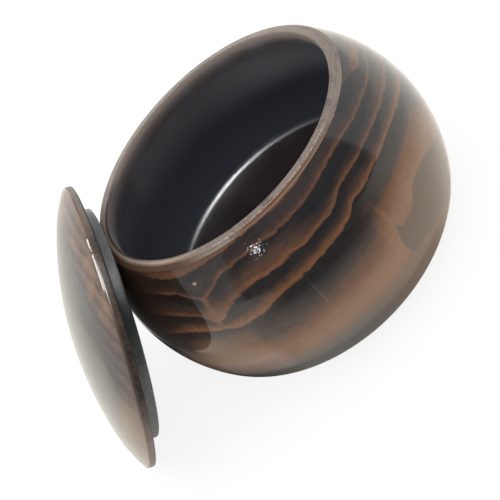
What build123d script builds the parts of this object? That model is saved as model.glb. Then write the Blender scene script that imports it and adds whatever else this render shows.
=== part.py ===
from build123d import *
import os
from math import atan2, cos, radians, sin, sqrt

# A lathe-turned wooden game-stone bowl and its lid. The bowl stands on the floor at Z = 0, on the Z axis.
# The lid has been taken off and stands on its edge on the -X side, leaning against the bowl.
# Every size is in millimetres, and angles are in degrees.

# Bowl, outside
BODY_R = 72.5  # widest radius of the belly
BODY_H = 76.0  # floor to the top of the rim
BELLY_Z = 35.0  # height of the widest ring
LOWER_ARC_R = 64.2  # radius of the outline just below the belly
BASE_ARC_R = 21.0  # radius of the outline where it turns under to the foot

# Bowl, mouth
MOUTH_R = 53.3  # radius of the hole the lid's spigot drops into
RIM_LAND = 4.4  # width of the rim's top, measured outwards from the mouth
RIM_DROP = 0.8  # how far that top falls away towards its outer edge
RIM_EDGE_ROUND = 1.0  # softened outer edge of the rim's top
MOUTH_EDGE_ROUND = 0.45  # softened edge of the mouth

# Bowl, inside
WALL = 6.5  # wood between the belly outside and the hollow
FLOOR_T = 15.5  # wood under the hollow
FLOOR_ROUND = 5.0  # round between the hollow's side and its floor
THROAT_ROUND = 8.0  # softened ring where the mouth opens out into the hollow

# Lid
LID_OVERHANG = 1.2  # the lid's edge stands this far outside the rim
BAND_T = 2.8  # height of the upright band round the lid's edge
SHOULDER_W = 14.6  # width of the steeper ring of the dome, inside the band
SHOULDER_RISE = 6.7  # how far the dome climbs over that ring
CROWN_RISE = 6.6  # how far it climbs from there to the middle
SPIGOT_CLEARANCE = 4.8  # play between the spigot and the mouth, all round
SPIGOT_H = 4.8  # how deep the spigot reaches into the mouth
SPIGOT_END_ROUND = 0.8  # softened free end of the spigot
RING_W = 6.5  # width of the spigot's flat end, round the hollow
HOLLOW_RISE = 1.5  # how far the underside is hollowed at its middle
BAND_EDGE_ROUND = 0.5  # softened edges of the upright band

# Lid, where it stands
LEAN_ANGLE = 35.0  # how far the lid leans back from upright
LEAN_GAP = 0.3  # air between the lid and the bowl where they meet
LEAN_STEP_END = 0.0002  # a last step this small ends the lid's way in to the bowl

# Worked out from the sizes above
RIM_OUTER_R = MOUTH_R + RIM_LAND
RIM_OUTER_Z = BODY_H - RIM_DROP
LID_R = RIM_OUTER_R + LID_OVERHANG
LID_TOP = BAND_T + SHOULDER_RISE + CROWN_RISE
SPIGOT_R = MOUTH_R - SPIGOT_CLEARANCE
HOLLOW_R = SPIGOT_R - RING_W


def arc_radius(reach, rise):
    """Radius of an arc that starts square to its radius and then covers this reach and this rise."""
    return (reach**2 + rise**2) / (2 * rise)


def belly_arc_radius():
    """Radius of the arc that is upright at the belly and passes through the rim's outer edge."""
    return arc_radius(RIM_OUTER_Z - BELLY_Z, BODY_R - RIM_OUTER_R)


def turn_under(side_r, side_arc_r, level, round_r):
    """Where a round that lies on a level line meets a side arc that is upright at the belly's height.

    Returns the point on the level line where the round starts, and the point where it meets the side arc.
    """
    centre_x = side_r - side_arc_r
    between = side_arc_r - round_r
    drop = BELLY_Z - level - round_r
    reach = sqrt(between**2 - drop**2)
    slope = atan2(drop, reach)
    start = (centre_x + reach, level)
    meet = (centre_x + side_arc_r * cos(slope), BELLY_Z - side_arc_r * sin(slope))
    return start, meet


def turned(edges):
    """Solid of revolution about Z of the closed outline that the edges make in the XZ plane."""
    return revolve(Plane.XZ * make_face(edges), axis=Axis.Z)


def rings(solid, radius, height):
    """The circular edges of a turned solid with this radius, at this height."""
    slack = 0.01
    level = solid.edges().filter_by(GeomType.CIRCLE).filter_by_position(Axis.Z, height - slack, height + slack)
    return [edge for edge in level if abs(edge.radius - radius) < slack]


def bowl_outside():
    """Outline of the bowl's outside, from the middle of the foot up to the mouth's edge."""
    foot_edge, base_end = turn_under(BODY_R, LOWER_ARC_R, 0, BASE_ARC_R)
    belly = (BODY_R, BELLY_Z)
    rim_edge = (RIM_OUTER_R, RIM_OUTER_Z)
    foot = Line((0, 0), foot_edge)
    base = TangentArc(foot_edge, base_end, tangent=(1, 0))
    lower = TangentArc(base_end, belly, tangent=base % 1)
    upper = TangentArc(belly, rim_edge, tangent=(0, 1))
    land = Line(rim_edge, (MOUTH_R, BODY_H))
    return [foot, base, lower, upper, land]


def bowl_hollow():
    """Outline of the hollow, from the mouth's edge down and round to the middle of its floor."""
    inside_r = BODY_R - WALL
    throat_arc_r = belly_arc_radius() - WALL
    throat_reach = MOUTH_R - (inside_r - throat_arc_r)
    throat = (MOUTH_R, BELLY_Z + sqrt(throat_arc_r**2 - throat_reach**2))
    belly = (inside_r, BELLY_Z)
    floor_edge, floor_end = turn_under(inside_r, LOWER_ARC_R - WALL, FLOOR_T, FLOOR_ROUND)
    neck = Line((MOUTH_R, BODY_H), throat)
    upper = TangentArc(belly, throat, tangent=(0, 1))
    lower = TangentArc(belly, floor_end, tangent=(0, -1))
    corner = TangentArc(floor_edge, floor_end, tangent=(1, 0))
    floor = Line(floor_edge, (0, FLOOR_T))
    return [neck, upper, lower, corner, floor], throat


def make_bowl():
    """The bowl: a round body, flat under the foot, hollowed out wider than its own mouth."""
    hollow, throat = bowl_hollow()
    core = Line((0, FLOOR_T), (0, 0))
    bowl = turned(bowl_outside() + hollow + [core])
    bowl = fillet(rings(bowl, *throat), THROAT_ROUND)
    bowl = fillet(rings(bowl, RIM_OUTER_R, RIM_OUTER_Z), RIM_EDGE_ROUND)
    return fillet(rings(bowl, MOUTH_R, BODY_H), MOUTH_EDGE_ROUND)


def make_lid():
    """The lid in its own frame: its seat on the rim at Z = 0, the dome above it, the spigot below."""
    shoulder_start = (LID_R - SHOULDER_W, BAND_T + SHOULDER_RISE)
    band_top = (LID_R, BAND_T)
    hollow_edge = (HOLLOW_R, -SPIGOT_H)
    hollow_middle = (0, HOLLOW_RISE - SPIGOT_H)
    crown = TangentArc((0, LID_TOP), shoulder_start, tangent=(1, 0))
    shoulder = TangentArc(shoulder_start, band_top, tangent=crown % 1)
    side = Polyline(band_top, (LID_R, 0), (SPIGOT_R, 0), (SPIGOT_R, -SPIGOT_H), hollow_edge)
    hollow = TangentArc(hollow_middle, hollow_edge, tangent=(1, 0))
    core = Line(hollow_middle, (0, LID_TOP))
    lid = turned([crown, shoulder, hollow, core] + side.edges())
    lid = fillet(rings(lid, SPIGOT_R, -SPIGOT_H), SPIGOT_END_ROUND)
    return fillet(rings(lid, LID_R, BAND_T) + rings(lid, LID_R, 0), BAND_EDGE_ROUND)


def lean_lid(lid, bowl):
    """The lid stood on its edge on the floor, leaning on the bowl with LEAN_GAP left between the two.

    Both pieces are turned, so they come nearest to each other in the plane of the lean. There the lid's
    section, stood far out, moves in by the distance left between the two sections until LEAN_GAP is left.
    """
    lean = radians(LEAN_ANGLE)
    dome_way = (-cos(lean), 0, sin(lean))
    up_slope = (sin(lean), 0, cos(lean))
    height = (LID_R - BAND_EDGE_ROUND) * cos(lean) - BAND_EDGE_ROUND * sin(lean) + BAND_EDGE_ROUND
    bowl_section = section(bowl, section_by=Plane.XZ)
    lid_section = section(lid, section_by=Plane.XZ)
    out = 2 * (BODY_R + LID_R)
    left = out
    while left > LEAN_STEP_END:
        stand = Plane(origin=(-out, 0, height), x_dir=up_slope, z_dir=dome_way)
        left = (stand.location * lid_section).distance_to(bowl_section) - LEAN_GAP
        out -= left
    print(f"lid's seat: middle {out:.3f} out along -X and {height:.3f} up")
    return Plane(origin=(-out, 0, height), x_dir=up_slope, z_dir=dome_way).location * lid


bowl = make_bowl()
lid = lean_lid(make_lid(), bowl)
print(f"gap between lid and bowl {lid.distance_to(bowl):.3f}")

os.makedirs("parts", exist_ok=True)
for name, solid in {"bowl": bowl, "lid": lid}.items():
    export_step(solid, f"parts/{name}.step")
    box = solid.bounding_box()
    print(name, "volume", round(solid.volume), "from", box.min, "to", box.max)
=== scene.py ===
"""A lathe-turned bowl for game stones and its domed lid, in dark stained wood under gloss lacquer."""

from math import atan2, cos, pi, radians, sin, sqrt

import bpy
import numpy as np
from bpy.props import FloatProperty, FloatVectorProperty, IntProperty, PointerProperty
from mathutils import Matrix, Vector


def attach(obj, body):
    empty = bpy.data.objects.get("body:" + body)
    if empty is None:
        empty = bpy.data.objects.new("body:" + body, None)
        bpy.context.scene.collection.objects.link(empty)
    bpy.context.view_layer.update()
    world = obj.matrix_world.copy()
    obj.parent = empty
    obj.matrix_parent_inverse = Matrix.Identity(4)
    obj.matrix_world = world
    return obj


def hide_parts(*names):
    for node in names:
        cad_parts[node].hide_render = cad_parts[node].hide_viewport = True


bl_info = {
    "name": "Turned Stone Bowl",
    "version": (1, 0, 0),
    "blender": (4, 5, 0),
    "location": "View3D > Sidebar > Stone Bowl",
    "description": "Builds a turned bowl for game stones, the lid that leans on it, and a small studio",
    "category": "Add Mesh",
}

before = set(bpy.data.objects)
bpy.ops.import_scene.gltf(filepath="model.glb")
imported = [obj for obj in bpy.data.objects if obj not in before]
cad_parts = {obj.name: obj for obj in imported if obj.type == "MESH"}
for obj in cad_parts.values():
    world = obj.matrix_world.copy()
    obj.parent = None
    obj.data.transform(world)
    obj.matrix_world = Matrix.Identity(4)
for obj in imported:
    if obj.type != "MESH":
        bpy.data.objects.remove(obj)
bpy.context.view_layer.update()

# A millimetre in metres.
MM = 0.001


class BowlShape(bpy.types.PropertyGroup):
    """Sizes of the bowl's outline, as it is turned."""

    belly_radius: FloatProperty(
        name="Belly Radius", description="Widest radius of the body", default=0.0725, unit="LENGTH"
    )
    height: FloatProperty(
        name="Height", description="Floor to the top of the rim", default=0.076, unit="LENGTH"
    )
    belly_height: FloatProperty(
        name="Belly Height", description="Height of the widest ring", default=0.035, unit="LENGTH"
    )
    lower_arc: FloatProperty(
        name="Lower Arc", description="Radius of the outline below the belly", default=0.0642, unit="LENGTH"
    )
    base_arc: FloatProperty(
        name="Base Arc", description="Radius of the outline as it turns under", default=0.021, unit="LENGTH"
    )
    mouth_radius: FloatProperty(
        name="Mouth Radius", description="Radius of the hole", default=0.0533, unit="LENGTH"
    )
    land_width: FloatProperty(
        name="Land Width", description="Width of the rim's top", default=0.0044, unit="LENGTH"
    )
    land_drop: FloatProperty(
        name="Land Drop", description="Fall of the rim's top to its outer edge", default=0.0008, unit="LENGTH"
    )
    land_round: FloatProperty(
        name="Land Round", description="Softened outer edge of the rim", default=0.001, unit="LENGTH"
    )
    mouth_round: FloatProperty(
        name="Mouth Round", description="Softened edge of the mouth", default=0.00045, unit="LENGTH"
    )
    throat_round: FloatProperty(
        name="Throat Round", description="Softened ring under the mouth", default=0.008, unit="LENGTH"
    )
    wall: FloatProperty(
        name="Wall", description="Wood between the outside and the hollow", default=0.0065, unit="LENGTH"
    )
    floor: FloatProperty(name="Floor", description="Wood under the hollow", default=0.0155, unit="LENGTH")
    floor_round: FloatProperty(
        name="Floor Round", description="Round between its side and its floor", default=0.005, unit="LENGTH"
    )
    segments: IntProperty(name="Segments", description="Facets round the bowl", default=384, min=24)


class LidShape(bpy.types.PropertyGroup):
    """Sizes of the lid's outline, and where it leans."""

    radius: FloatProperty(
        name="Radius", description="Outer radius of the band", default=0.0589, unit="LENGTH"
    )
    band: FloatProperty(name="Band", description="Height of the upright band", default=0.0028, unit="LENGTH")
    band_round: FloatProperty(
        name="Band Round", description="Softened edges of the band", default=0.0005, unit="LENGTH"
    )
    shoulder_width: FloatProperty(
        name="Shoulder Width", description="Width of the dome's steeper ring", default=0.0146, unit="LENGTH"
    )
    shoulder_rise: FloatProperty(
        name="Shoulder Rise", description="Climb of the dome over that ring", default=0.0067, unit="LENGTH"
    )
    crown_rise: FloatProperty(
        name="Crown Rise", description="Climb from there to the middle", default=0.0066, unit="LENGTH"
    )
    spigot_radius: FloatProperty(
        name="Spigot Radius", description="Radius of the part inside the mouth", default=0.0485, unit="LENGTH"
    )
    spigot_depth: FloatProperty(
        name="Spigot Depth", description="How deep it reaches", default=0.0048, unit="LENGTH"
    )
    spigot_round: FloatProperty(
        name="Spigot Round", description="Softened free end", default=0.0008, unit="LENGTH"
    )
    ring_width: FloatProperty(
        name="Ring Width", description="Spigot's flat end round the hollow", default=0.0065, unit="LENGTH"
    )
    hollow_rise: FloatProperty(
        name="Hollow Rise", description="How far the underside is hollowed", default=0.0015, unit="LENGTH"
    )
    lean: FloatProperty(
        name="Lean", description="How far the lid leans from upright", default=radians(35), subtype="ANGLE"
    )
    out: FloatProperty(
        name="Out", description="Middle of the seat, off the bowl's axis", default=0.082531, unit="LENGTH"
    )
    up: FloatProperty(
        name="Up", description="Middle of the seat, above the floor", default=0.048052, unit="LENGTH"
    )
    segments: IntProperty(name="Segments", description="Facets round the lid", default=320, min=24)


class WoodLook(bpy.types.PropertyGroup):
    """Colours of the stained wood and gloss of its lacquer."""

    dark: FloatVectorProperty(
        name="Dark Wood", description="Late wood under a line", default=(0.008, 0.007, 0.007), subtype="COLOR"
    )
    umber: FloatVectorProperty(
        name="Umber Wood", description="Wood close to a line", default=(0.042, 0.024, 0.017), subtype="COLOR"
    )
    line: FloatVectorProperty(
        name="Line", description="Early wood over a line", default=(0.155, 0.064, 0.027), subtype="COLOR"
    )
    brown: FloatVectorProperty(
        name="Brown Wood", description="Plain lower body", default=(0.210, 0.112, 0.058), subtype="COLOR"
    )
    olive: FloatVectorProperty(
        name="Olive Wood", description="Dull stained patch", default=(0.110, 0.075, 0.052), subtype="COLOR"
    )
    rim: FloatVectorProperty(
        name="Rim Wood", description="Open grain of the rim", default=(0.200, 0.166, 0.142), subtype="COLOR"
    )
    # Pale wood for specks of wear, also used for the painted highlights on the mouth's edge and along the
    # lid's dome edge.
    bare_and_highlight: FloatVectorProperty(
        name="Worn Wood", description="Specks on worn edges", default=(0.62, 0.55, 0.48), subtype="COLOR"
    )
    lip: FloatVectorProperty(
        name="Lip", description="Patches inside the mouth", default=(0.210, 0.160, 0.145), subtype="COLOR"
    )
    upper_hollow: FloatVectorProperty(
        name="Upper Hollow", description="High in the hollow", default=(0.185, 0.190, 0.205), subtype="COLOR"
    )
    hollow: FloatVectorProperty(
        name="Hollow", description="Low in the hollow", default=(0.056, 0.064, 0.080), subtype="COLOR"
    )
    well: FloatVectorProperty(
        name="Well", description="Floor of the hollow", default=(0.034, 0.023, 0.024), subtype="COLOR"
    )
    dome: FloatVectorProperty(
        name="Dome", description="Dull wood of the lid's dome", default=(0.052, 0.042, 0.034), subtype="COLOR"
    )
    chestnut: FloatVectorProperty(
        name="Chestnut", description="Near the dome's edge", default=(0.190, 0.108, 0.064), subtype="COLOR"
    )
    band: FloatVectorProperty(
        name="Band", description="End grain of the lid's band", default=(0.032, 0.025, 0.022), subtype="COLOR"
    )
    band_ends: FloatVectorProperty(
        name="Band Ends", description="Ends of the band's run", default=(0.200, 0.165, 0.138), subtype="COLOR"
    )
    # This grey is the stain of the lid's underside, whose darker share there is painted shade; it also
    # darkens the bowl low on its front and left as painted shade.
    slate_and_shade: FloatVectorProperty(
        name="Slate", description="Grey stain by the lid", default=(0.085, 0.090, 0.089), subtype="COLOR"
    )
    gloss: FloatProperty(
        name="Gloss Roughness", description="Roughness of the lacquer", default=0.05, min=0.0, max=1.0
    )


class StudioLook(bpy.types.PropertyGroup):
    """The camera's place. Both offsets are in the picture before it is rolled."""

    distance: FloatProperty(
        name="Distance", description="Camera to the bowl, along the view", default=0.3072, unit="LENGTH"
    )
    aim_height: FloatProperty(
        name="Aim Height", description="Height of the point aimed at", default=0.038, unit="LENGTH"
    )
    elevation: FloatProperty(
        name="Elevation", description="How far the camera looks down", default=radians(37.13), subtype="ANGLE"
    )
    azimuth: FloatProperty(
        name="Azimuth", description="How far round the camera stands", default=radians(5.83), subtype="ANGLE"
    )
    roll: FloatProperty(
        name="Roll", description="How far the picture is turned", default=radians(48.41), subtype="ANGLE"
    )
    lens: FloatProperty(
        name="Lens", description="Focal length on a sensor 36 mm wide, in millimetres", default=54.0
    )
    aside: FloatProperty(
        name="Aside", description="Offset of the bowl to the right", default=0.02086, unit="LENGTH"
    )
    above: FloatProperty(
        name="Above", description="Offset of the bowl upwards", default=0.0092, unit="LENGTH"
    )


def arc(centre, radius, start, end, count):
    """Points of a circle of this radius round this centre, at even angles from start to end."""
    angle = np.linspace(start, end, count)
    return np.column_stack((centre[0] + radius * np.cos(angle), centre[1] + radius * np.sin(angle)))


def straight(start, end, count):
    """Evenly spaced points from start to end."""
    return np.linspace(start, end, count)


def rounded(corner, arriving, leaving, radius, count):
    """Arc of this radius that touches the two directions which meet at a corner.

    The turn between the two directions gives the length, radius times the tangent of half the turn, by which
    the arc cuts the corner on both sides, and its centre lies square to the arriving direction at its start.
    """
    arriving = np.array(arriving) / np.hypot(*arriving)
    leaving = np.array(leaving) / np.hypot(*leaving)
    side = np.sign(arriving[0] * leaving[1] - arriving[1] * leaving[0])
    turn = np.arccos(np.clip(arriving @ leaving, -1, 1))
    cut = radius * np.tan(turn / 2)
    start = np.array(corner) - arriving * cut
    centre = start + side * radius * np.array((-arriving[1], arriving[0]))
    first = atan2(*(start - centre)[::-1])
    return arc(centre, radius, first, first + side * turn, count), cut


def turned_mesh(name, stretches, segments):
    """A closed mesh that carries an outline round the Z axis.

    Each outline point at radius r and height z gives a ring of points (r cos t, r sin t, z), with t at even
    steps of a full turn. A point on the axis gives one vertex. Each stretch has its material's number.
    """
    points = [stretches[0][1][:1]]
    numbers = []
    for number, stretch in stretches:
        points.append(stretch[1:] if np.allclose(stretch[0], points[-1][-1], atol=1e-7) else stretch)
        numbers += [number] * len(points[-1])
    outline = np.concatenate(points)
    rings = outline[1:-1]
    angle = 2 * pi * np.arange(segments) / segments
    wide = rings[:, :1]
    ring_points = np.stack(
        (wide * np.cos(angle), wide * np.sin(angle), np.repeat(rings[:, 1:], segments, axis=1)), axis=-1
    )
    vertices = np.concatenate(([(0, 0, outline[0, 1])], ring_points.reshape(-1, 3), [(0, 0, outline[-1, 1])]))
    here = np.arange(segments)
    after = (here + 1) % segments
    row = 1 + segments * np.arange(len(rings) - 1)[:, None]
    quads = np.stack((row + here, row + after, row + segments + after, row + segments + here), axis=-1)
    last_ring = 1 + segments * (len(rings) - 1)
    last = len(vertices) - 1
    first_fan = np.stack((np.zeros_like(here), 1 + after, 1 + here), axis=-1)
    last_fan = np.stack((last_ring + here, last_ring + after, np.full_like(here, last)), axis=-1)
    faces = first_fan.tolist() + quads.reshape(-1, 4).tolist() + last_fan.tolist()
    mesh = bpy.data.meshes.new(name)
    mesh.from_pydata(vertices.tolist(), [], faces)
    mesh.polygons.foreach_set("material_index", np.repeat(numbers, segments).astype(np.int32))
    mesh.shade_smooth()
    mesh.set_sharp_from_angle(angle=radians(35))
    return mesh


def turn_under(side, side_arc, belly_height, level, round_radius):
    """Where a round that lies on a level line meets a side arc that is upright at the belly's height.

    Returns the radius at which the round starts on the level line, and the slope angle at which the two meet.
    """
    drop = belly_height - level - round_radius
    reach = sqrt((side_arc - round_radius) ** 2 - drop**2)
    return side - side_arc + reach, atan2(drop, reach)


OUTSIDE, LAND, INSIDE, ROUND, FLOOR, FOOT = range(6)


def bowl_outline(shape):
    """Stretches of the bowl's outline, from the middle of the foot, over the rim and down into the hollow.

    The arc over the belly starts upright there, so its radius is the squares of its narrowing and its climb,
    added up, over twice the narrowing. Each stretch ends with how many points it has.
    """
    belly = shape.belly_radius
    belly_z = shape.belly_height
    mouth = shape.mouth_radius
    top = shape.height
    rim = np.array((mouth + shape.land_width, top - shape.land_drop))
    narrowing = belly - rim[0]
    climb = rim[1] - belly_z
    upper_arc = (narrowing**2 + climb**2) / (2 * narrowing)
    rim_angle = atan2(climb, upper_arc - narrowing)
    rim_heading = (-sin(rim_angle), cos(rim_angle))
    foot_edge, under_angle = turn_under(belly, shape.lower_arc, belly_z, 0, shape.base_arc)
    land_heading = np.array((mouth, top)) - rim
    land_arc, land_cut = rounded(rim, rim_heading, land_heading, shape.land_round, 9)
    mouth_arc, _ = rounded((mouth, top), land_heading, (0, -1), shape.mouth_round, 7)
    inner_arc = upper_arc - shape.wall
    inner_middle = belly - upper_arc
    throat_angle = np.arccos((mouth - inner_middle) / inner_arc)
    throat = np.array((mouth, belly_z + inner_arc * sin(throat_angle)))
    throat_heading = (sin(throat_angle), -cos(throat_angle))
    throat_arc, throat_cut = rounded(throat, (0, -1), throat_heading, shape.throat_round, 7)
    inner_lower = shape.lower_arc - shape.wall
    floor_edge, floor_angle = turn_under(
        belly - shape.wall, inner_lower, belly_z, shape.floor, shape.floor_round
    )
    floor_middle = (floor_edge, shape.floor + shape.floor_round)
    lower_middle = (belly - shape.lower_arc, belly_z)
    upper_middle = (inner_middle, belly_z)
    return [
        (FOOT, straight((0, 0), (foot_edge, 0), 12)),
        (OUTSIDE, arc((foot_edge, shape.base_arc), shape.base_arc, -pi / 2, -under_angle, 16)),
        (OUTSIDE, arc(lower_middle, shape.lower_arc, -under_angle, 0, 10)),
        (OUTSIDE, arc(upper_middle, upper_arc, 0, rim_angle - land_cut / upper_arc, 30)),
        (LAND, land_arc),
        (LAND, straight(land_arc[-1], mouth_arc[0], 4)),
        (LAND, mouth_arc),
        (INSIDE, straight(mouth_arc[-1], throat_arc[0], 4)),
        (INSIDE, throat_arc),
        (INSIDE, arc(upper_middle, inner_arc, throat_angle - throat_cut / inner_arc, 0, 24)),
        (INSIDE, arc(lower_middle, inner_lower, 0, -floor_angle, 8)),
        (ROUND, arc(floor_middle, shape.floor_round, -floor_angle, -pi / 2, 18)),
        (FLOOR, straight((floor_edge, shape.floor), (0, shape.floor), 10)),
    ]


DOME, BAND, UNDERSIDE = range(3)


def lid_outline(shape):
    """Stretches of the lid's outline, from the middle of its underside, round the edge and over the dome.

    The hollow's and the crown's arcs are level on the axis, so their radius is the squares of their edge and
    their rise, added up, over twice the rise. The shoulder's arc goes on from the crown's at the same slope.
    Each stretch ends with how many points it has.
    """
    radius = shape.radius
    depth = -shape.spigot_depth
    spigot = shape.spigot_radius
    hollow_edge = spigot - shape.ring_width
    hollow_arc = (hollow_edge**2 + shape.hollow_rise**2) / (2 * shape.hollow_rise)
    hollow_middle = (0, depth + shape.hollow_rise - hollow_arc)
    hollow_angle = atan2(hollow_edge, hollow_arc - shape.hollow_rise)
    end_arc, _ = rounded((spigot, depth), (1, 0), (0, 1), shape.spigot_round, 9)
    seat_arc, _ = rounded((radius, 0), (1, 0), (0, 1), shape.band_round, 7)
    crown_edge = radius - shape.shoulder_width
    crown_arc = (crown_edge**2 + shape.crown_rise**2) / (2 * shape.crown_rise)
    crown_angle = np.arcsin(crown_edge / crown_arc)
    top = shape.band + shape.shoulder_rise + shape.crown_rise
    shoulder_angle = 2 * atan2(shape.shoulder_rise, shape.shoulder_width) - crown_angle
    shoulder_chord = np.hypot(shape.shoulder_rise, shape.shoulder_width)
    shoulder_arc = shoulder_chord / (2 * sin((shoulder_angle - crown_angle) / 2))
    shoulder_middle = (
        crown_edge - shoulder_arc * sin(crown_angle),
        shape.band + shape.shoulder_rise - shoulder_arc * cos(crown_angle),
    )
    edge_heading = (-cos(shoulder_angle), sin(shoulder_angle))
    edge_arc, edge_cut = rounded((radius, shape.band), (0, 1), edge_heading, shape.band_round, 9)
    start = pi / 2 - shoulder_angle + edge_cut / shoulder_arc
    return [
        (UNDERSIDE, arc(hollow_middle, hollow_arc, pi / 2, pi / 2 - hollow_angle, 16)),
        (UNDERSIDE, straight((hollow_edge, depth), end_arc[0], 4)),
        (UNDERSIDE, end_arc),
        (UNDERSIDE, straight(end_arc[-1], (spigot, 0), 5)),
        (UNDERSIDE, straight((spigot, 0), seat_arc[0], 4)),
        (BAND, seat_arc),
        (BAND, straight(seat_arc[-1], edge_arc[0], 5)),
        (DOME, edge_arc),
        (DOME, arc(shoulder_middle, shoulder_arc, start, pi / 2 - crown_angle, 20)),
        (DOME, arc((0, top - crown_arc), crown_arc, pi / 2 - crown_angle, pi / 2, 30)),
    ]


def lid_place(shape):
    """Matrix from the lid's own frame, seat at Z = 0 and dome above it, to where it leans on the bowl."""
    up_slope = Vector((sin(shape.lean), 0, cos(shape.lean)))
    dome_way = Vector((-cos(shape.lean), 0, sin(shape.lean)))
    across = dome_way.cross(up_slope)
    turned = Matrix((up_slope, across, dome_way)).transposed().to_4x4()
    return Matrix.Translation((-shape.out, 0, shape.up)) @ turned


class Value:
    """What a node gives: a number, a vector or a colour. Working with it adds nodes to the same finish."""

    def __init__(self, finish, socket):
        self.finish = finish
        self.socket = socket

    def math(self, operation, *others):
        """One operation on this number and others."""
        return self.finish.value("ShaderNodeMath", self, *others, operation=operation)

    def __add__(self, other):
        return self.math("ADD", other)

    def __sub__(self, other):
        return self.math("SUBTRACT", other)

    def __mul__(self, other):
        return self.math("MULTIPLY", other)

    def __abs__(self):
        return self.math("ABSOLUTE")

    def vector(self, operation, *others, output=0):
        """One operation on this vector and others."""
        return self.finish.value("ShaderNodeVectorMath", self, *others, output=output, operation=operation)

    def parts(self):
        """The three numbers of this vector."""
        return [Value(self.finish, part) for part in self.finish.node("ShaderNodeSeparateXYZ", self).outputs]

    def turned(self, turn, scale=1.0):
        """This vector scaled, and turned back by an angle round the Z axis."""
        node = self.finish.node("ShaderNodeMapping", self)
        self.finish.fill(node, {"Rotation": (0, 0, -turn), "Scale": (scale, scale, scale)})
        return Value(self.finish, node.outputs[0])

    def step(self, low, high, start=0.0, end=1.0):
        """A smooth climb from start to end while this number goes from low to high."""
        limits = (low, high, start, end)
        return self.finish.value("ShaderNodeMapRange", self, *limits, interpolation_type="SMOOTHSTEP")

    def near(self, middle, reach):
        """One where this number is at the middle, falling smoothly to nothing at this reach from it."""
        return abs(self - middle).step(0.0, reach, 1.0, 0.0)

    def between(self, low, high, soft):
        """One while this number is between two limits, with an edge this soft outside them."""
        return self.step(low - soft, low) * self.step(high, high + soft, 1.0, 0.0)

    def curve(self, points):
        """A number read off a smooth curve through given points."""
        low, high = points[0][0], points[-1][0]
        bottom = min(height for at, height in points)
        top = max(height for at, height in points)
        at = self.finish.value("ShaderNodeMapRange", self, low, high)
        node = self.finish.node("ShaderNodeFloatCurve", 1.0, at)
        knots = node.mapping.curves[0].points
        while len(knots) < len(points):
            knots.new(0.5, 0.5)
        for knot, (where, height) in zip(knots, points):
            knot.location = ((where - low) / (high - low), (height - bottom) / (top - bottom))
        node.mapping.update()
        return Value(self.finish, node.outputs[0]) * (top - bottom) + bottom

    def ramp(self, stops):
        """A colour or a grey read off given stops."""
        low, high = stops[0][0], stops[-1][0]
        at = self.finish.value("ShaderNodeMapRange", self, low, high)
        node = self.finish.node("ShaderNodeValToRGB", at)
        elements = node.color_ramp.elements
        while len(elements) < len(stops):
            elements.new(1.0)
        for element, (where, shade) in zip(elements, stops):
            element.position = (where - low) / (high - low)
            element.color = (*np.broadcast_to(shade, 3), 1)
        return Value(self.finish, node.outputs[0])

    def noise(self, scale, size, detail=2.0):
        """Soft noise round nothing, mostly within this size. Three scales stretch it along the axes."""
        vector = self
        if isinstance(scale, tuple):
            vector = self.vector("MULTIPLY", scale)
            scale = 1.0
        node = self.finish.node("ShaderNodeTexNoise", vector)
        self.finish.fill(node, {"Scale": scale, "Detail": detail})
        return Value(self.finish, node.outputs[0]) * (3.0 * size) - 1.5 * size


class Finish:
    """A material or world under construction."""

    def __init__(self, holder):
        holder.use_nodes = True
        self.holder = holder
        self.nodes = holder.node_tree.nodes
        self.links = holder.node_tree.links

    def put(self, socket, value):
        """Feeds a socket from a value, or sets its own number or colour."""
        if isinstance(value, Value):
            self.links.new(value.socket, socket)
        elif socket.type == "RGBA":
            socket.default_value = (*value, 1)
        else:
            socket.default_value = value

    def fill(self, node, values):
        """Puts values into the node's inputs of these names."""
        for name, value in values.items():
            self.put(node.inputs[name], value)

    def node(self, kind, *values, **settings):
        """A node with these settings and its first inputs in order."""
        node = self.nodes.new(kind)
        for name, value in settings.items():
            setattr(node, name, value)
        for socket, value in zip(node.inputs, values):
            self.put(socket, value)
        return node

    def value(self, kind, *values, output=0, **settings):
        """One output of such a node."""
        return Value(self, self.node(kind, *values, **settings).outputs[output])

    def place(self, turn=0.0):
        """The piece's own coordinates in millimetres, turned back by an angle round the Z axis."""
        return self.value("ShaderNodeTexCoord", output="Object").turned(turn, 1 / MM)


def material(name):
    """A new material under construction."""
    return Finish(bpy.data.materials.new(name))


def largest(first, *others):
    """The largest of several numbers."""
    for value in others:
        first = first.math("MAXIMUM", value)
    return first


def length(first, second):
    """The root of the sum of two squares."""
    return (first * first + second * second).math("SQRT")


def degrees_round(right, away):
    """Degrees round the Z axis from the camera's side, positive to the right."""
    return right.math("ARCTAN2", away * -1.0).math("DEGREES")


def mix(share, first, second, numbers=False):
    """The second of two colours, or of two numbers, laid over the first by this share."""
    kind, start, result = ("FLOAT", 2, 0) if numbers else ("RGBA", 6, 2)
    node = share.finish.node("ShaderNodeMix", share, data_type=kind)
    share.finish.put(node.inputs[start], first)
    share.finish.put(node.inputs[start + 1], second)
    return Value(share.finish, node.outputs[result])


def bumps(*layers):
    """A surface normal from height fields, each with its depth in millimetres."""
    normal = None
    for height, depth in layers:
        node = height.finish.node("ShaderNodeBump")
        height.finish.fill(node, {"Distance": depth * MM, "Height": height})
        if normal is not None:
            height.finish.put(node.inputs["Normal"], normal)
        normal = Value(height.finish, node.outputs[0])
    return normal


# How much the wood itself shines, and how strongly the lacquer bends light.
WOOD_SPECULAR = 0.1
LACQUER_IOR = 1.5


def lacquer(finish, colour, roughness, normal, coat_normal, gloss, coat=1.0):
    """Stained wood under clear lacquer. The numbers that are the same all over go on the shader itself."""
    finish.fill(finish.nodes["Principled BSDF"], {
        "Base Color": colour,
        "Roughness": roughness,
        "Specular IOR Level": WOOD_SPECULAR,
        "Coat Weight": coat,
        "Coat Roughness": gloss,
        "Coat IOR": LACQUER_IOR,
        "Normal": normal,
        "Coat Normal": coat_normal,
    })
    return finish.holder


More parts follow.
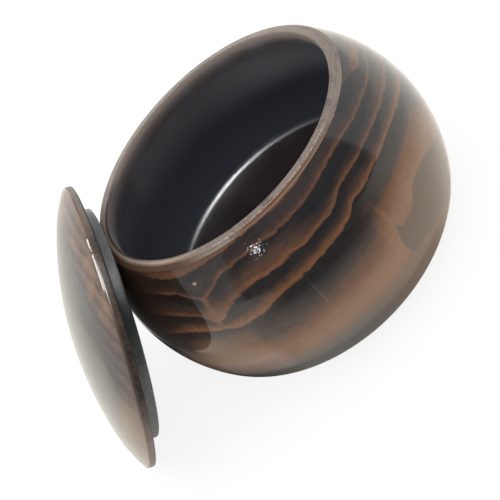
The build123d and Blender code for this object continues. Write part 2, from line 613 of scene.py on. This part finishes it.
# Brightness of the wood against its height square to the growth rings, in millimetres over the middle of the
# foot. Each line is a saw tooth: nearly black below, bright just over it, and darkening again up to the next.
FRONT_RINGS = (
    (-20, 0.66), (4, 0.78), (14, 0.88), (20, 0.74), (25, 0.52), (29, 0.32), (32, 0.18), (36, 0.07),
    (40.2, 0.02), (40.5, 0.53), (41.7, 0.53), (42.4, 0.38), (43.6, 0.28), (44.6, 0.14), (45.4, 0.06),
    (48.0, 0.02), (48.3, 0.49), (49.1, 0.45), (49.8, 0.33), (50.6, 0.26), (52.4, 0.21), (53.6, 0.13),
    (54.8, 0.04), (57.2, 0.01), (57.5, 0.42), (58.2, 0.39), (58.9, 0.20), (59.9, 0.11),
    (62.6, 0.05), (62.9, 0.44), (64.6, 0.42), (66.0, 0.25),
)
BACK_RINGS = (
    (66.0, 0.25), (69.2, 0.04), (69.6, 0.47), (70.8, 0.33), (74.0, 0.05), (74.4, 0.50), (76.2, 0.42),
    (77.4, 0.20), (80.8, 0.04), (81.2, 0.45), (82.3, 0.30), (86.6, 0.04), (87.0, 0.50), (88.8, 0.40),
    (90.0, 0.17), (94.1, 0.03), (94.5, 0.46), (95.6, 0.30), (104.0, 0.06),
)
BACK_START = BACK_RINGS[0][0]

# How far up each growth line leaves its plane: degrees round the bowl from its front, and millimetres. The
# low waves are for the lines under about 56 mm, and the high ones for those over about 69 mm.
LOW_WAVES = (
    (-180, 0), (-150, 2), (-120, -3), (-95, -7.5), (-75, -8), (-65, -7.4), (-55, -6.1), (-50, -4),
    (-43, -1.1), (-35, 1.8), (-30, 2.3), (-20, 1.4), (-10, 1.8), (0, 1.7), (5, 1.5), (9, 0.4), (13, -2.0),
    (15, -0.8), (20, -1.6), (30, -2.9), (40, -1.8), (48, -0.9), (60, 0.4), (80, 1.5), (115, 3), (145, 1),
    (180, 0),
)
MIDDLE_WAVES = (
    (-180, 0), (-150, 1.5), (-120, -4), (-90, -9.5), (-70, -9.8), (-60, -7.4), (-55, -5.4), (-48, -2.8),
    (-42, -1.6), (-33, -0.6), (-28, -0.5), (-20, 0.7), (-10, 1.9), (0, 2.8), (7, 2), (15, -0.1), (30, 0),
    (40, 0.4), (60, 1.2), (90, 3), (130, -1), (180, 0),
)
HIGH_WAVES = (
    (-180, 0), (-150, 1), (-120, -4), (-90, -8.5), (-70, -8.6), (-60, -6), (-50, -2.8), (-42, -1.3),
    (-30, 0), (-20, 0.6), (-10, 2), (0, 3.1), (8, 2.7), (15, 2), (30, 2.7), (45, 3.2), (65, 4.6), (90, 3),
    (130, -2), (180, 0),
)

# The knot: degrees round the bowl, and millimetres of the surface in a degree there.
KNOT_AROUND = -42.0
KNOT_DEGREE = 1.14

# Soft patches of the outside: painted glows of light on the right and on the left, a painted shade between
# them, a haze under the rim and the pale left ends of the lines. Each has its two ends and its soft edge in
# degrees round the bowl, the same in height, and its change of brightness.
TONE_PATCHES = (
    ((20.0, 46.0, 12.0), (42.0, 50.0, 4.0), 0.26),
    ((-57.0, -37.0, 5.0), (28.0, 47.0, 4.0), 0.20),
    ((-20.0, 5.0, 10.0), (39.0, 50.0, 5.0), -0.085),
    ((-26.0, -9.0, 8.0), (63.0, 67.5, 2.0), 0.10),
    ((-50.0, -27.0, 10.0), (44.0, 55.0, 3.0), 0.09),
)

# Upper edge of the dull patch: degrees round the bowl, and height in millimetres.
PATCH_TOP = (
    (0, 30), (11, 36), (13, 42), (15.5, 38), (21, 38), (27, 42.5), (34, 42), (42, 38), (52, 32), (70, 22),
)


def growth_rings(grain, right, away, up, around):
    """Height of a point square to the growth rings, and how bright the wood is there.

    The rings are planes that rise towards the front. Three curves round the bowl wave them, each for the
    lines at one level, with a smooth change between levels. A knot draws the upper lines down to a point,
    and noise makes them ragged.
    """
    low, middle, high = (around.curve(waves) for waves in (LOW_WAVES, MIDDLE_WAVES, HIGH_WAVES))
    waves = low + (middle - low) * up.step(56.0, 61.5) + (high - middle) * up.step(63.0, 69.0)
    right_dip = around.between(44.0, 78.0, 16.0) * up.step(70.0, 74.0) * 1.9
    beside = grain.finish.value("ShaderNodeMapRange", abs(around - KNOT_AROUND), 0.0, 10.0, 1.0, 0.0)
    funnel = beside.math("POWER", up.step(58.0, 64.0, 2.6, 1.3))
    knot_dip = funnel * up.between(56.0, 68.0, 4.5) * 5.2
    ragged = grain.noise(0.13, 0.55, 2.0) + grain.noise(0.42, 0.6, 4.0)
    height = up + away * 0.25 - right * 0.06 + waves - right_dip + knot_dip + ragged
    at_back = height.math("GREATER_THAN", BACK_START)
    return height, mix(at_back, height.ramp(FRONT_RINGS), height.ramp(BACK_RINGS))


def outside_finish(look, turn):
    """Body of the bowl: growth lines round the shoulder, a small knot, a plain belly and a dull patch."""
    finish = material("bowl_outside")
    grain = finish.place(turn)
    right, away, up = grain.parts()
    around = degrees_round(right, away)
    height, tone = growth_rings(grain, right, away, up, around)

    fibre = grain.noise((0.06, 0.7, 0.7), 0.085, 4.0)
    fine = grain.noise((0.35, 1.8, 1.8), 0.05, 2.0)
    cloud = grain.noise(0.035, 0.07, 2.0) * height.step(24.0, 40.0, 1.0, 0.0)
    tone = tone + fibre + fine + cloud
    # The first three patches, two glows and a shade, are painted light and shade.
    for side, level, change in TONE_PATCHES:
        tone = tone + around.between(*side) * up.between(*level) * change
    pale_flame = around.near(13.6, 1.1) * up.between(45.0, 52.0, 4.0) * 0.12
    pale_scratch = around.near(-13.0, 0.5) * up.between(42.0, 52.0, 2.5) * 0.2
    high_right = around.between(44.0, 78.0, 16.0) * up.step(71.0, 73.5) * 0.22
    deep = around.between(4.0, 34.0, 9.0) * height.between(51.4, 56.6, 1.6) * 0.12
    knot_side = (around - KNOT_AROUND) * KNOT_DEGREE
    knot_glow = knot_side.near(1.5, 5.5) * up.between(56.0, 63.0, 3.0) * 0.15
    tone = tone + pale_flame + pale_scratch - high_right - deep + knot_glow
    colour = tone.ramp((
        (0.0, look.dark), (0.25, look.umber), (0.55, look.line), (0.8, look.brown), (1.0, look.brown * 1.25),
    ))

    colour = mix(up.step(29.0, 18.0, 0.0, 0.7), colour, look.olive)
    fades = abs(around).step(170.0, 120.0)
    # Painted shade: darker low on the front and left, towards the foot.
    low_left_shade = up.step(31.0, 18.0) * around.step(12.0, -14.0) * fades * 0.75
    colour = mix(low_left_shade, colour, look.slate_and_shade * 0.72)
    low_right = up.step(25.0, 17.0) * around.step(8.0, 24.0) * fades * 0.45
    colour = mix(low_right, colour, look.brown)
    pinkish = around.between(-54.0, -37.0, 6.0) * up.between(22.0, 31.0, 4.0) * 0.5
    colour = mix(pinkish, colour, look.lip * 1.4)

    wander = grain.noise(0.2, 0.8, 1.0)
    knot_line = (knot_side + wander).near(0.0, 1.9) * up.between(54.0, 63.5, 2.0)
    colour = mix(knot_line * 0.85, colour, look.line)
    eye_width = up.step(65.0, 70.5) * 3.6 + 0.6
    eye = (abs(knot_side) - eye_width).step(0.5, -0.7) * up.between(65.5, 69.6, 1.0)
    colour = mix(eye * 0.75, colour, look.umber)
    dot = knot_side.near(-0.2, 1.2) * up.near(69.3, 0.55)
    colour = mix(dot * 0.8, colour, look.bare_and_highlight)

    ragged = grain.noise(0.3, 0.6, 3.0)
    top_edge = (around.curve(PATCH_TOP) - up + ragged).step(-0.3, 0.6)
    from_middle = up - 32.0
    left_edge = (around - from_middle * from_middle * 0.025 + ragged).step(11.6, 12.6)
    bottom_edge = (up + around * 0.3 + ragged).step(28.6, 30.2)
    dull_patch = top_edge * left_edge * bottom_edge * around.step(44.0, 64.0, 1.0, 0.0)
    colour = mix(dull_patch * 0.85, colour, look.olive)
    # Painted shade of the lid on the flank beside it.
    painted_lid_shade = around.step(-53.0, -68.0) * around.step(-150.0, -105.0) * up.step(34.0, 44.0, 0.3, 1.0)
    colour = mix(painted_lid_shade * 0.85, colour, look.umber * 0.9)

    pore = grain.noise((0.25, 2.2, 2.2), 0.5, 3.0)
    ripple = grain.noise((0.25, 0.25, 1.5), 0.5, 2.0)
    pitted = around.near(-18.0, 14.0) * up.step(60.0, 66.0)
    pits = grain.noise(1.1, 0.5, 1.0) * (pitted * 0.88 + 0.12)
    coat_normal = bumps((ripple, 0.008), (pore, 0.002), (pits, 0.036))
    return lacquer(finish, colour, pore * 0.1 + 0.45, bumps((pore, 0.02)), coat_normal, look.gloss)


def rim_finish(look, turn):
    """Top of the rim: open end grain with a brown outer corner in front and on the left, and specks of wear.

    At the mouth's edge it is darker, most where the lid rests, as painted shade.
    """
    finish = material("bowl_rim")
    grain = finish.place(turn)
    right, away, _ = grain.parts()
    around = degrees_round(right, away)
    radius = length(right, away)
    speck = grain.noise(1.3, 0.5, 3.0)
    broad = grain.noise((0.2, 0.05, 0.2), 0.35, 3.0)
    streak = finish.value("ShaderNodeCombineXYZ", radius * 1.3, around * 0.05, 0.0).noise(1.0, 0.5, 3.0)
    dark = (speck + broad + streak).step(0.1, -0.5)
    left = around.between(-100.0, -48.0, 18.0)
    colour = mix(dark * 0.7, mix(left * 0.5, look.rim * 1.1, look.brown), look.umber)
    colour = mix(abs(around).step(65.0, 115.0, 0.0, 0.16), colour, look.bare_and_highlight)

    front = around.step(-27.0, -15.0) * around.step(4.0, 44.0, 1.0, 0.0)
    corner_start = grain.noise(0.08, 0.3, 1.0) * front - left * 0.3 + 56.15
    corner = (radius + speck * 0.4 - corner_start).step(-0.25, 0.2) * largest(front, left) * 0.92
    colour = mix(corner, colour, mix(left * 0.4 + 0.4, look.line, look.umber))
    # Painted shade: darker at the mouth's edge, widest where the lid rests on the rim.
    shaded_mouth_edge = around.between(-104.0, -84.0, 30.0) * 1.5 + 53.0
    colour = mix((radius - shaded_mouth_edge).step(0.3, -0.2), colour, look.umber)
    bright = radius.near(54.6, 0.9) * left * 0.4
    colour = mix(bright, colour, look.bare_and_highlight)
    grit = grain.noise(2.6, 0.5, 2.0)
    wear_and_highlight = radius.near(56.0, 0.6) * grit.step(0.0, 0.15) * around.between(-26.0, 24.0, 8.0)
    colour = mix(wear_and_highlight * 0.8, colour, look.bare_and_highlight)
    normals = bumps((speck, 0.06)), bumps((speck, 0.03))
    return lacquer(finish, colour, speck * 0.15 + 0.55, *normals, gloss=0.32, coat=0.2)


def side_finish(look, turn):
    """Side of the hollow: dark, paling upwards, with patchy brown, a pale band and a painted highlight at the
    mouth.
    """
    finish = material("bowl_inside")
    grain = finish.place(turn)
    right, away, up = grain.parts()
    around = degrees_round(right, away)
    streak = grain.noise((0.03, 0.03, 0.35), 0.5, 2.0)
    patch = grain.noise((0.06, 0.06, 0.03), 0.5, 2.0)
    near_lid = around.between(-138.0, -108.0, 14.0)
    rising = up.step(38.0, 70.0) * (near_lid * -0.45 + 1.0)
    colour = mix(rising, look.hollow, look.upper_hollow * 1.25)
    lit = around.step(70.0, 100.0) * around.step(130.0, 178.0, 0.7, 0.0) * up.step(36.0, 56.0)
    colour = mix(lit, colour, look.upper_hollow * 2.0)
    brown = (up + streak * 7.0).step(63.0, 71.0) * patch.step(-0.15, 0.25, 0.35, 1.0) * 0.85
    colour = mix(brown, colour, look.lip)
    colour = mix(streak.step(0.0, 0.4) * 0.15, colour, look.hollow)
    left_end = around.between(-128.0, -60.0, 14.0)
    pale = up.step(72.0, 74.6) * (left_end * -0.85 + 1.0)
    colour = mix(pale, colour, look.rim * 2.1)
    # Painted highlight on the mouth's edge.
    colour = mix(up.step(74.9, 75.5) * pale, colour, look.bare_and_highlight)
    speck = grain.noise(0.9, 0.5, 3.0)
    turning = grain.noise((0.05, 0.05, 0.8), 0.5, 2.0)
    normals = bumps((turning, 0.01)), bumps((turning, 0.006), (speck, 0.004))
    return lacquer(finish, colour, speck * 0.1 + 0.45, *normals, gloss=0.3, coat=0.2)


def well_finish(name, look, turn, coat, pit_depth):
    """Floor of the hollow and the round that leads into it: pitted lacquer over dark reddish wood."""
    finish = material(name)
    grain = finish.place(turn)
    up = grain.parts()[2]
    cloud = grain.noise(0.05, 0.5, 3.0)
    colour = mix(cloud.step(-0.4, 0.4, 0.0, 0.6), look.well, look.dark)
    colour = mix(up.step(16.0, 18.0), colour, look.hollow)
    pits = grain.noise(1.5, 0.5, 2.0)
    normals = bumps((pits, 0.01)), bumps((pits, pit_depth))
    return lacquer(finish, colour, pits * 0.1 + 0.4, *normals, gloss=0.15, coat=coat)


def foot_finish(look):
    """Underside of the bowl: plain, dark and less polished, with faint rings from the lathe."""
    finish = material("bowl_foot")
    own = finish.place()
    right, away, _ = own.parts()
    ring = (length(right, away) * 3.5).math("SINE")
    fibre = own.noise((0.05, 0.7, 0.7), 0.5, 4.0)
    colour = mix(fibre.step(-0.5, 0.5), look.umber, look.dark)
    normals = bumps((ring, 0.01), (fibre, 0.01)), bumps((ring, 0.004))
    return lacquer(finish, colour, 0.6, *normals, gloss=0.35)


def lid_frame(finish, shape):
    """Own coordinates, and those of the lid's frame in millimetres: up the slope, off the axis, and out."""
    own = finish.place()
    from_seat = own.vector("SUBTRACT", (-shape.out / MM, 0, shape.up / MM))
    slope = (sin(shape.lean), 0, cos(shape.lean))
    axis = (-cos(shape.lean), 0, sin(shape.lean))
    climb = from_seat.vector("DOT_PRODUCT", slope, output="Value")
    out = from_seat.vector("DOT_PRODUCT", axis, output="Value")
    return own, climb, length(climb, from_seat.parts()[1]), out


# The dome's stripes: how far apart they are in millimetres, and how dark each is from one to the next.
STRIPE_STEP = 6.3
STRIPE = ((0.0, 1.0), (0.12, 0.8), (0.45, 0.1), (0.78, 0.0), (0.95, 0.7), (1.0, 1.0))


def dome_finish(look, shape):
    """Dome of the lid: dull wood with soft dark stripes, warmer near its edge.

    Along the edge runs a painted highlight in a broken line, with painted shadow beside it.
    """
    finish = material("lid_dome")
    own, climb, radius, out = lid_frame(finish, shape)
    high = climb.step(24.0, 42.0)
    low = climb.step(14.0, -8.0)
    patchy = own.noise(0.09, 0.25, 3.0)
    warm = high * 0.6 + low * 0.6 + patchy + 0.3
    edge = (radius + low * 6.0 + high * 5.0 + patchy * 10.0).step(49.0, 57.0)
    fibre = own.noise((0.7, 0.05, 0.7), 0.22, 4.0)
    ground = mix(warm * edge + fibre, look.dome, look.chestnut)
    height = climb - out * 0.9 + own.noise(0.04, 2.2, 2.0) + own.noise(0.35, 0.35, 2.0)
    stripe = (height * (1 / STRIPE_STEP)).math("FRACT").ramp(STRIPE)
    shown = own.noise(0.07, 0.35, 2.0) - low * 0.6 + 0.75
    colour = mix(stripe * shown, ground, look.umber)
    red = climb.between(36.0, 54.0, 4.0) * radius.between(50.0, 57.0, 2.0) * patchy.step(-0.1, 0.06)
    colour = mix(red * 0.5, colour, look.chestnut * 1.4)

    corner = radius.step(58.0, 58.4) * climb.between(2.0, 52.0, 6.0) * 0.85
    colour = mix(corner, colour, look.umber)
    # Painted shadow beside the dome's edge and a painted highlight along it, broken into a speckled line.
    along = climb.between(44.5, 54.5, 1.5)
    from_highlight_line = abs(radius - 58.3)
    line_breaks = own.noise(0.4, 0.5, 3.0)
    shadow = from_highlight_line.step(1.5, 0.8) * along * line_breaks.step(-0.35, 0.0) * 0.8
    colour = mix(shadow, colour, look.umber)
    gaps = line_breaks + climb.step(53.0, 49.0, 0.0, 0.2)
    wear_and_highlight = from_highlight_line.step(0.55, 0.25) * along * gaps.step(-0.06, 0.04)
    colour = mix(wear_and_highlight, colour, look.bare_and_highlight * 1.3)
    pore = own.noise((2.2, 0.25, 2.2), 0.5, 3.0)
    normals = bumps((pore, 0.02)), bumps((pore, 0.006))
    return lacquer(finish, colour, pore * 0.1 + 0.5, *normals, gloss=0.16)


def band_finish(look, shape):
    """Band of the lid: mottled end grain, browner in its upper half, paler at its top and further down."""
    finish = material("lid_band")
    own, climb, _, out = lid_frame(finish, shape)
    speck = own.noise(0.9, 0.5, 4.0)
    broad = own.noise(0.12, 0.4, 2.0)
    ends = largest(climb.step(52.0, 58.5), climb.step(16.0, -18.0))
    brown = climb.between(18.0, 56.0, 6.0) * speck.step(-0.1, 0.25) * 0.45
    ground = mix(brown, mix(ends, look.band, look.band_ends), look.chestnut * 0.6)
    mottled = (speck + broad).step(0.3, -0.4, 0.0, 0.85) * ends.step(1.0, 0.0, 0.3, 1.0)
    colour = mix(mottled, ground, look.dark)
    top = shape.band / MM
    colour = mix(out.step(top - 1.2, top + 0.2, 0.0, 0.4), colour, look.chestnut)
    seat_edge = out.step(0.9, 0.3) * climb.step(36.0, 50.0, 0.2, 0.85)
    colour = mix(seat_edge, colour, look.dark)
    normals = bumps((speck, 0.05)), bumps((speck, 0.03))
    return lacquer(finish, colour, speck * 0.15 + 0.5, *normals, gloss=0.25, coat=0.35)


def underside_finish(look, shape):
    """Seat, spigot and hollowed underside of the lid: grey stain, painted shade darkest near its top, and
    turned rings.
    """
    finish = material("lid_underside")
    own, climb, radius, _ = lid_frame(finish, shape)
    ring = (radius * 4.0).math("SINE")
    fibre = own.noise((0.7, 0.06, 0.7), 0.5, 4.0)
    # Painted shade: darkest just under where the spigot rests on the bowl's rim, paler above it and towards
    # the low end.
    ends = largest(climb.step(37.0, 42.0), climb.step(31.0, 3.0))
    ground = mix(ends, look.slate_and_shade * 0.22, look.slate_and_shade * 1.35)
    colour = mix(fibre.step(-0.2, 0.5, 0.0, 0.6), ground, look.dark)
    normals = bumps((ring, 0.006), (fibre, 0.01)), bumps((ring, 0.003))
    return lacquer(finish, colour, 0.55, *normals, gloss=0.3, coat=0.7)


def show_piece(name, mesh, finishes, body, node):
    """Puts a mesh with its finishes into the scene in place of its CAD node."""
    for finish in finishes:
        mesh.materials.append(finish)
    piece = bpy.data.objects.new(name, mesh)
    bpy.context.scene.collection.objects.link(piece)
    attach(piece, body)
    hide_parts(node)


class AddBowl(bpy.types.Operator):
    """Turn the bowl: round body, flat-topped rim and a hollow wider than its mouth"""

    bl_idname = "stone_bowl.add_bowl"
    bl_label = "Add Bowl"

    def execute(self, context):
        shape = context.scene.bowl_shape
        look = context.scene.wood_look
        turn = context.scene.studio_look.azimuth
        mesh = turned_mesh("turned_bowl", bowl_outline(shape), shape.segments)
        finishes = (
            outside_finish(look, turn),
            rim_finish(look, turn),
            side_finish(look, turn),
            well_finish("bowl_inside_round", look, turn, coat=1.0, pit_depth=0.11),
            well_finish("bowl_inside_floor", look, turn, coat=0.3, pit_depth=0.1),
            foot_finish(look),
        )
        show_piece("turned_bowl", mesh, finishes, "bowl", "bowl")
        return {"FINISHED"}


class AddLid(bpy.types.Operator):
    """Turn the lid: shallow dome, upright band, seat and spigot, leaning on the bowl"""

    bl_idname = "stone_bowl.add_lid"
    bl_label = "Add Lid"

    def execute(self, context):
        shape = context.scene.lid_shape
        look = context.scene.wood_look
        mesh = turned_mesh("turned_lid", lid_outline(shape), shape.segments)
        mesh.transform(lid_place(shape))
        finishes = (dome_finish(look, shape), band_finish(look, shape), underside_finish(look, shape))
        show_piece("turned_lid", mesh, finishes, "lid", "lid")
        return {"FINISHED"}


WHITE = (1, 1, 1)
PAPER = (0.14, 0.14, 0.14)
PAPER_GLOW = 0.87
MIRRORED_PAPER = (0.92, 0.89, 0.81)
DIM_ROOM = (0.15, 0.165, 0.20)

# The ceiling lamp's way, round from the camera's side and up, and how bright the lamps are in the lacquer.
LAMP_AROUND = radians(25)
LAMP_RAISED = radians(66)
CEILING_LAMP = 30.0
SMALL_LAMP = 46.0

# Light on the wood from low round the room, and from over it.
LOW_LIGHT = 0.66
HIGH_LIGHT = 1.9


def floor_finish(look):
    """Pale floor: nearly white to the camera, with a soft shadow.

    The lacquer mirrors it pale on the right, on the left beyond the lid and near the bowl in front, and
    dimmer far off in front, close round the foot and where the lid shades it.
    """
    finish = material("studio_floor")
    matt = {"Roughness": 0.9, "Specular IOR Level": 0.0, "Emission Color": WHITE}
    paper = finish.nodes["Principled BSDF"]
    finish.fill(paper, {**matt, "Base Color": PAPER, "Emission Strength": PAPER_GLOW})
    own = finish.place(look.azimuth)
    right, away, _ = own.parts()
    around = degrees_round(right, away)
    far = own.vector("LENGTH", output="Value")
    lid_shade = around.between(-150.0, -104.0, 16.0) * 24.0 + 92.0
    past_lid = far.step(lid_shade, 140.0)
    right_side = (around + far.step(150.0, 350.0, -10.0, 8.0)).step(18.0, 64.0)
    right_side = right_side * largest(abs(around).step(176.0, 120.0), past_lid)
    dim_corner = around.between(-132.0, -108.0, 12.0) * far.step(350.0, 900.0) * -0.35 + 1.0
    left_side = around.step(-26.0, -58.0) * around.step(-160.0, -130.0, 0.8, 1.0) * past_lid * dim_corner
    open_side = around.step(-60.0, -30.0) * around.step(178.0, 120.0)
    unshaded = largest(open_side, far.step(lid_shade - 12.0, lid_shade + 10.0))
    front = far.step(100.0, 330.0, 0.95, 0.13) * unshaded
    contact = far.step(72.0, 77.0, around.step(24.0, 42.0, 0.5, 1.0), 1.0)
    pale = largest(largest(front, right_side) * contact, left_side)
    mirrored = finish.node("ShaderNodeBsdfPrincipled")
    finish.fill(mirrored, {
        **matt,
        "Base Color": mix(pale, (0, 0, 0), MIRRORED_PAPER),
        "Emission Strength": (right_side * 0.14 + 0.03) * contact,
    })
    shaders = [Value(finish, shader.outputs[0]) for shader in (paper, mirrored)]
    glossy = finish.value("ShaderNodeLightPath", output="Is Glossy Ray")
    shown = finish.value("ShaderNodeMixShader", glossy, *shaders)
    finish.put(finish.nodes["Material Output"].inputs["Surface"], shown)
    return finish.holder


def studio_room(look):
    """Soft even light for the wood, white to the camera.

    The lacquer mirrors a dim room with a pale window on the left, pale walls on the right and low behind the
    bowl, a bright ceiling lamp with a fainter one to the left of it, and a small lamp in front.
    """
    finish = Finish(bpy.data.worlds.new("studio"))
    way = finish.value("ShaderNodeTexCoord", output="Generated").turned(look.azimuth)
    right, away, up = way.parts()
    around = degrees_round(right, away)
    raised = up.math("ARCSINE").math("DEGREES")
    behind = abs(around).step(98.0, 112.0) * raised.step(26.0, 40.0, 1.0, 0.0)
    right_wall = around.step(54.0, 60.0) * around.step(120.0, 140.0, 1.0, 0.0)
    left_window = around.step(-54.0, -60.0) * around.step(-106.0, -92.0) * raised.step(45.0, 49.0, 0.6, 0.0)
    level = cos(LAMP_RAISED)
    lamp_way = (sin(LAMP_AROUND) * level, -cos(LAMP_AROUND) * level, sin(LAMP_RAISED))
    off = way.vector("DOT_PRODUCT", lamp_way, output="Value").math("ARCCOSINE").math("DEGREES")
    lamp_foot = around.step(26.0, 38.0, 50.0, 41.0)
    main_lamp = off.step(5.0, 42.0, 1.0, 0.0) * around.step(100.0, 35.0)
    main_lamp = main_lamp * raised.step(lamp_foot, lamp_foot + 7.0)
    side_lamp = around.between(-95.0, -50.0, 18.0) * raised.between(57.0, 70.0, 5.0) * 0.3
    ceiling_lamp = largest(main_lamp, side_lamp)
    small_lamp = around.near(-34.0, 3.4) * raised.near(28.0, 3.4)
    pale = largest(behind, right_wall, left_window, ceiling_lamp, small_lamp)
    room = mix(pale, DIM_ROOM, WHITE)
    lamps = ceiling_lamp * CEILING_LAMP + small_lamp * SMALL_LAMP + 1.0
    path = finish.node("ShaderNodeLightPath")
    glossy = Value(finish, path.outputs["Is Glossy Ray"])
    camera = Value(finish, path.outputs["Is Camera Ray"])
    strength = mix(glossy, raised.step(38.0, 58.0, LOW_LIGHT, HIGH_LIGHT), lamps, numbers=True)
    finish.fill(finish.nodes["Background"], {
        "Color": mix(camera, mix(glossy, WHITE, room), WHITE),
        "Strength": mix(camera, strength, 1.0, numbers=True),
    })
    return finish.holder


# The camera's sensor in millimetres, and how far the floor reaches each way in metres.
SENSOR_WIDTH = 36
FLOOR_REACH = 3.0


class SetUpStudio(bpy.types.Operator):
    """Set up the pale floor, the soft light and the camera"""

    bl_idname = "stone_bowl.set_up_studio"
    bl_label = "Set Up Studio"

    def execute(self, context):
        look = context.scene.studio_look
        camera = bpy.data.cameras.new("camera")
        camera.lens = look.lens
        camera.sensor_width = SENSOR_WIDTH
        forward = Vector((
            -sin(look.azimuth) * cos(look.elevation),
            cos(look.azimuth) * cos(look.elevation),
            -sin(look.elevation),
        ))
        right = Vector((cos(look.azimuth), sin(look.azimuth), 0))
        up = right.cross(forward)
        aim = Vector((0, 0, look.aim_height))
        place = aim - forward * look.distance - right * look.aside - up * look.above
        picture_right = cos(look.roll) * right - sin(look.roll) * up
        picture_up = sin(look.roll) * right + cos(look.roll) * up
        turned = Matrix((picture_right, picture_up, -forward)).transposed().to_4x4()
        holder = bpy.data.objects.new("camera", camera)
        holder.matrix_world = Matrix.Translation(place) @ turned
        context.scene.collection.objects.link(holder)
        context.scene.camera = holder

        floor_mesh = bpy.data.meshes.new("studio_floor")
        reach = FLOOR_REACH
        corners = [(-reach, -reach, 0), (reach, -reach, 0), (reach, reach, 0), (-reach, reach, 0)]
        floor_mesh.from_pydata(corners, [], [(0, 1, 2, 3)])
        floor = bpy.data.objects.new("studio_floor", floor_mesh)
        context.scene.collection.objects.link(floor)
        floor_mesh.materials.append(floor_finish(look))
        context.scene.world = studio_room(look)
        context.scene.view_settings.view_transform = "Standard"
        return {"FINISHED"}


class StoneBowlPanel(bpy.types.Panel):
    """Lists the pieces and the studio"""

    bl_idname = "VIEW3D_PT_stone_bowl"
    bl_label = "Stone Bowl"
    bl_space_type = "VIEW_3D"
    bl_region_type = "UI"
    bl_category = "Stone Bowl"

    def draw(self, context):
        for operator in (AddBowl, AddLid, SetUpStudio):
            self.layout.operator(operator.bl_idname)


# The property groups, by the names that the scene has them under.
GROUPS = {"bowl_shape": BowlShape, "lid_shape": LidShape, "wood_look": WoodLook, "studio_look": StudioLook}
CLASSES = (*GROUPS.values(), AddBowl, AddLid, SetUpStudio, StoneBowlPanel)


def register():
    for item in CLASSES:
        bpy.utils.register_class(item)
    for name, group in GROUPS.items():
        setattr(bpy.types.Scene, name, PointerProperty(type=group))


def unregister():
    for name in GROUPS:
        delattr(bpy.types.Scene, name)
    for item in reversed(CLASSES):
        bpy.utils.unregister_class(item)


def main():
    """Builds the bowl, its lid and the studio."""
    register()
    bpy.ops.stone_bowl.add_bowl()
    bpy.ops.stone_bowl.add_lid()
    bpy.ops.stone_bowl.set_up_studio()


if __name__ == "__main__":
    main()
